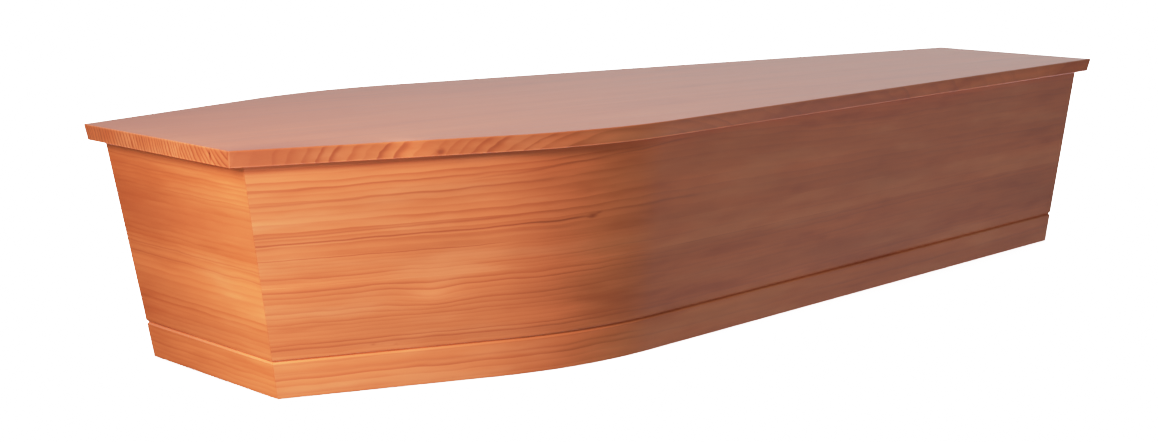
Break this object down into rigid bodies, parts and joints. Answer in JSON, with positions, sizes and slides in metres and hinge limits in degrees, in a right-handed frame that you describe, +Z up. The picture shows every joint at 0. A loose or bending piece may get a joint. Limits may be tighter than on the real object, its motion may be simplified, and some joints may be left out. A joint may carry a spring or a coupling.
{
  "type": "wooden coffin",
  "caption": "Shouldered wooden coffin with bent, outward-leaning side boards, mitred corners, a V-groove near the floor and a flat overhanging lift-off lid.",
  "frame": {"origin": "on the floor, under the middle of the lid", "axes": "+X from the head end to the foot end, +Y to the left side, +Z up"},
  "size_m": [2.017, 0.7486, 0.372],
  "materials": {
    "stained_pine": "satin lacquer over a warm red-brown stain, grain along each board",
    "plain_pine": "planed and sealed, unstained"
  },
  "bodies": {
    "root": {"lid": "stained_pine", "left_side_board": "stained_pine", "right_side_board": "stained_pine", "head_board": "stained_pine", "foot_board": "stained_pine", "base_board": "plain_pine"}
  },
  "joints": []
}
